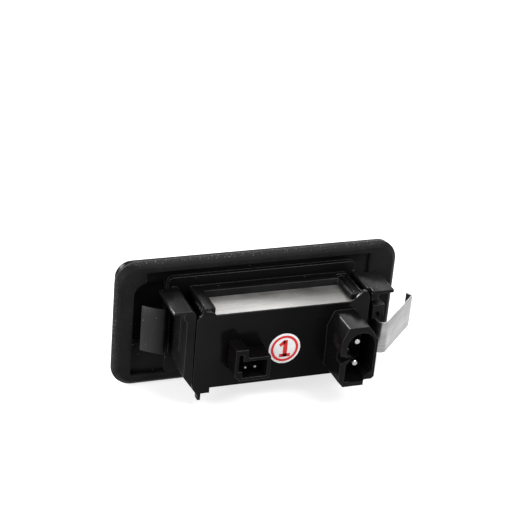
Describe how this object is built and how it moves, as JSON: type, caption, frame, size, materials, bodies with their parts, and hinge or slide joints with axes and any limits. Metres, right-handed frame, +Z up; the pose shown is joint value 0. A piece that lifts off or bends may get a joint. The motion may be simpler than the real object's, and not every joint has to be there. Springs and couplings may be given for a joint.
{
  "type": "number plate lamp",
  "caption": "Clip-in car number plate lamp with a clear lens, a soft seal round its flange, a keyed rear socket, a small link header and a sprung steel clip.",
  "frame": {"origin": "on the plane of the seal's back face, where it meets the car's panel, at the middle of the flange's lower long edge", "axes": "+X along the lamp to the end with the steel spring, +Y towards the lens, +Z up across the flange"},
  "size_m": [0.1058, 0.0367, 0.0456],
  "materials": {
    "seal_rubber": "fine matt grain",
    "housing_plastic": "satin moulding",
    "cover_plastic": "polished moulding",
    "header_plastic": "satin moulding",
    "sink_aluminium": "satin rolled sheet",
    "lens_clear": "clear polished",
    "board_white": "white solder mask",
    "board_green": "green solder mask",
    "diode_package": "white package with yellow phosphor",
    "resistor_ceramic": "matt",
    "post_metal": "drawn wire",
    "contact_metal": "bright plated",
    "spring_steel": "satin rolled leaf",
    "sticker_film": "smooth film"
  },
  "bodies": {
    "root": {"rubber_seal": "seal_rubber", "housing": "housing_plastic", "rear_cover": "cover_plastic", "heat_sink_plate": "sink_aluminium", "lens": "lens_clear", "led_board": "board_white", "driver_board": "board_green", "led_1": "diode_package", "led_2": "diode_package", "led_3": "diode_package", "led_4": "diode_package", "led_5": "diode_package", "led_6": "diode_package", "led_7": "diode_package", "led_8": "diode_package", "led_9": "diode_package", "led_10": "diode_package", "led_11": "diode_package", "led_12": "diode_package", "led_13": "diode_package", "led_14": "diode_package", "led_15": "diode_package", "led_16": "diode_package", "led_17": "diode_package", "led_18": "diode_package", "load_resistor_1": "resistor_ceramic", "load_resistor_2": "resistor_ceramic", "load_resistor_3": "resistor_ceramic", "polarity_diode": "resistor_ceramic", "board_post_lower": "post_metal", "board_post_upper": "post_metal", "main_pin_upper": "contact_metal", "main_pin_lower": "contact_metal", "link_header": "header_plastic", "link_pin_left": "contact_metal", "link_pin_right": "contact_metal", "retaining_spring": "spring_steel", "side_sticker": "sticker_film"}
  },
  "joints": []
}
